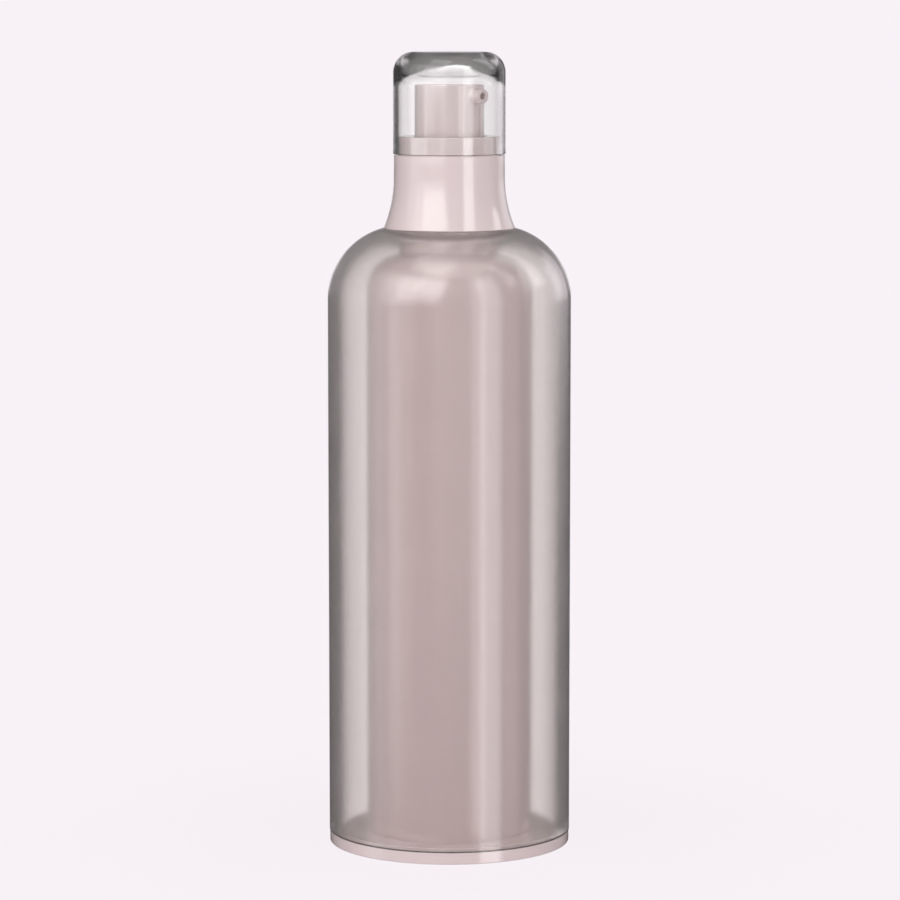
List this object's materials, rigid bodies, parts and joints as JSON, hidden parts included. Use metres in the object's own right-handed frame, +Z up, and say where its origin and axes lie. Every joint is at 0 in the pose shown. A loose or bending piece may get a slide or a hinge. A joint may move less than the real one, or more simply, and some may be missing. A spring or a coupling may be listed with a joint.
{
  "type": "airless pump bottle",
  "caption": "Round double-wall airless pump bottle with clear outer wall, pink inner bottle, flared collar, push button with side spout and clear overcap.",
  "frame": {"origin": "centre of the base cap, on the plane that the bottle stands on", "axes": "+Z up along the bottle axis, through the push button; the spout points along -Y at rest"},
  "size_m": [0.05, 0.05, 0.1638],
  "materials": {
    "clear_acrylic": "clear acrylic, polished",
    "frosted_acrylic": "clear acrylic, satin outside",
    "pink_plastic": "moulded, soft gloss",
    "pink_inner": "moulded, soft gloss",
    "natural_plastic": "natural polypropylene",
    "white_plastic": "soft polyethylene",
    "spring_steel": "drawn wire",
    "ball_steel": "polished",
    "gasket_foam": "closed-cell foam"
  },
  "bodies": {
    "bottle": {"outer_bottle": "frosted_acrylic", "inner_bottle": "pink_inner", "base_cap": "pink_plastic", "collar": "pink_plastic", "cap_ring": "pink_plastic", "snap_closure": "natural_plastic", "neck_gasket": "gasket_foam", "stem_guide": "natural_plastic", "pump_housing": "natural_plastic", "ball_cage": "natural_plastic", "return_spring": "spring_steel"},
    "cap": {"overcap": "clear_acrylic"},
    "stem": {"pump_stem": "natural_plastic", "valve_rod": "natural_plastic"},
    "button": {"push_button": "pink_plastic", "button_core": "natural_plastic", "nozzle_insert": "pink_plastic"},
    "seal": {"piston_seal": "white_plastic"},
    "follower": {"follower_piston": "white_plastic"},
    "ball": {"inlet_ball": "ball_steel"}
  },
  "joints": [
    {"name": "cap_pull", "type": "slide", "parent": "bottle", "child": "cap", "axis": [0, 0, 1], "range_m": [0, 0.03]},
    {"name": "pump_stroke", "type": "slide", "parent": "bottle", "child": "stem", "axis": [0, 0, -1], "range_m": [0, 0.0045], "stiffness_N_per_m": 1200, "springref_m": -0.0005, "deforming": ["return_spring"]},
    {"name": "nozzle_turn", "type": "hinge", "parent": "stem", "child": "button", "pos_m": [0, 0, 0.15], "axis": [0, 0, 1], "continuous": true},
    {"name": "follower_rise", "type": "slide", "parent": "bottle", "child": "follower", "axis": [0, 0, 1], "range_m": [0, 0.0965]},
    {"name": "ball_lift", "type": "slide", "parent": "bottle", "child": "ball", "axis": [0, 0, 1], "range_m": [0, 0.0008]},
    {"name": "seal_slip", "type": "slide", "parent": "stem", "child": "seal", "axis": [0, 0, 1], "range_m": [0, 0.0007]}
  ]
}
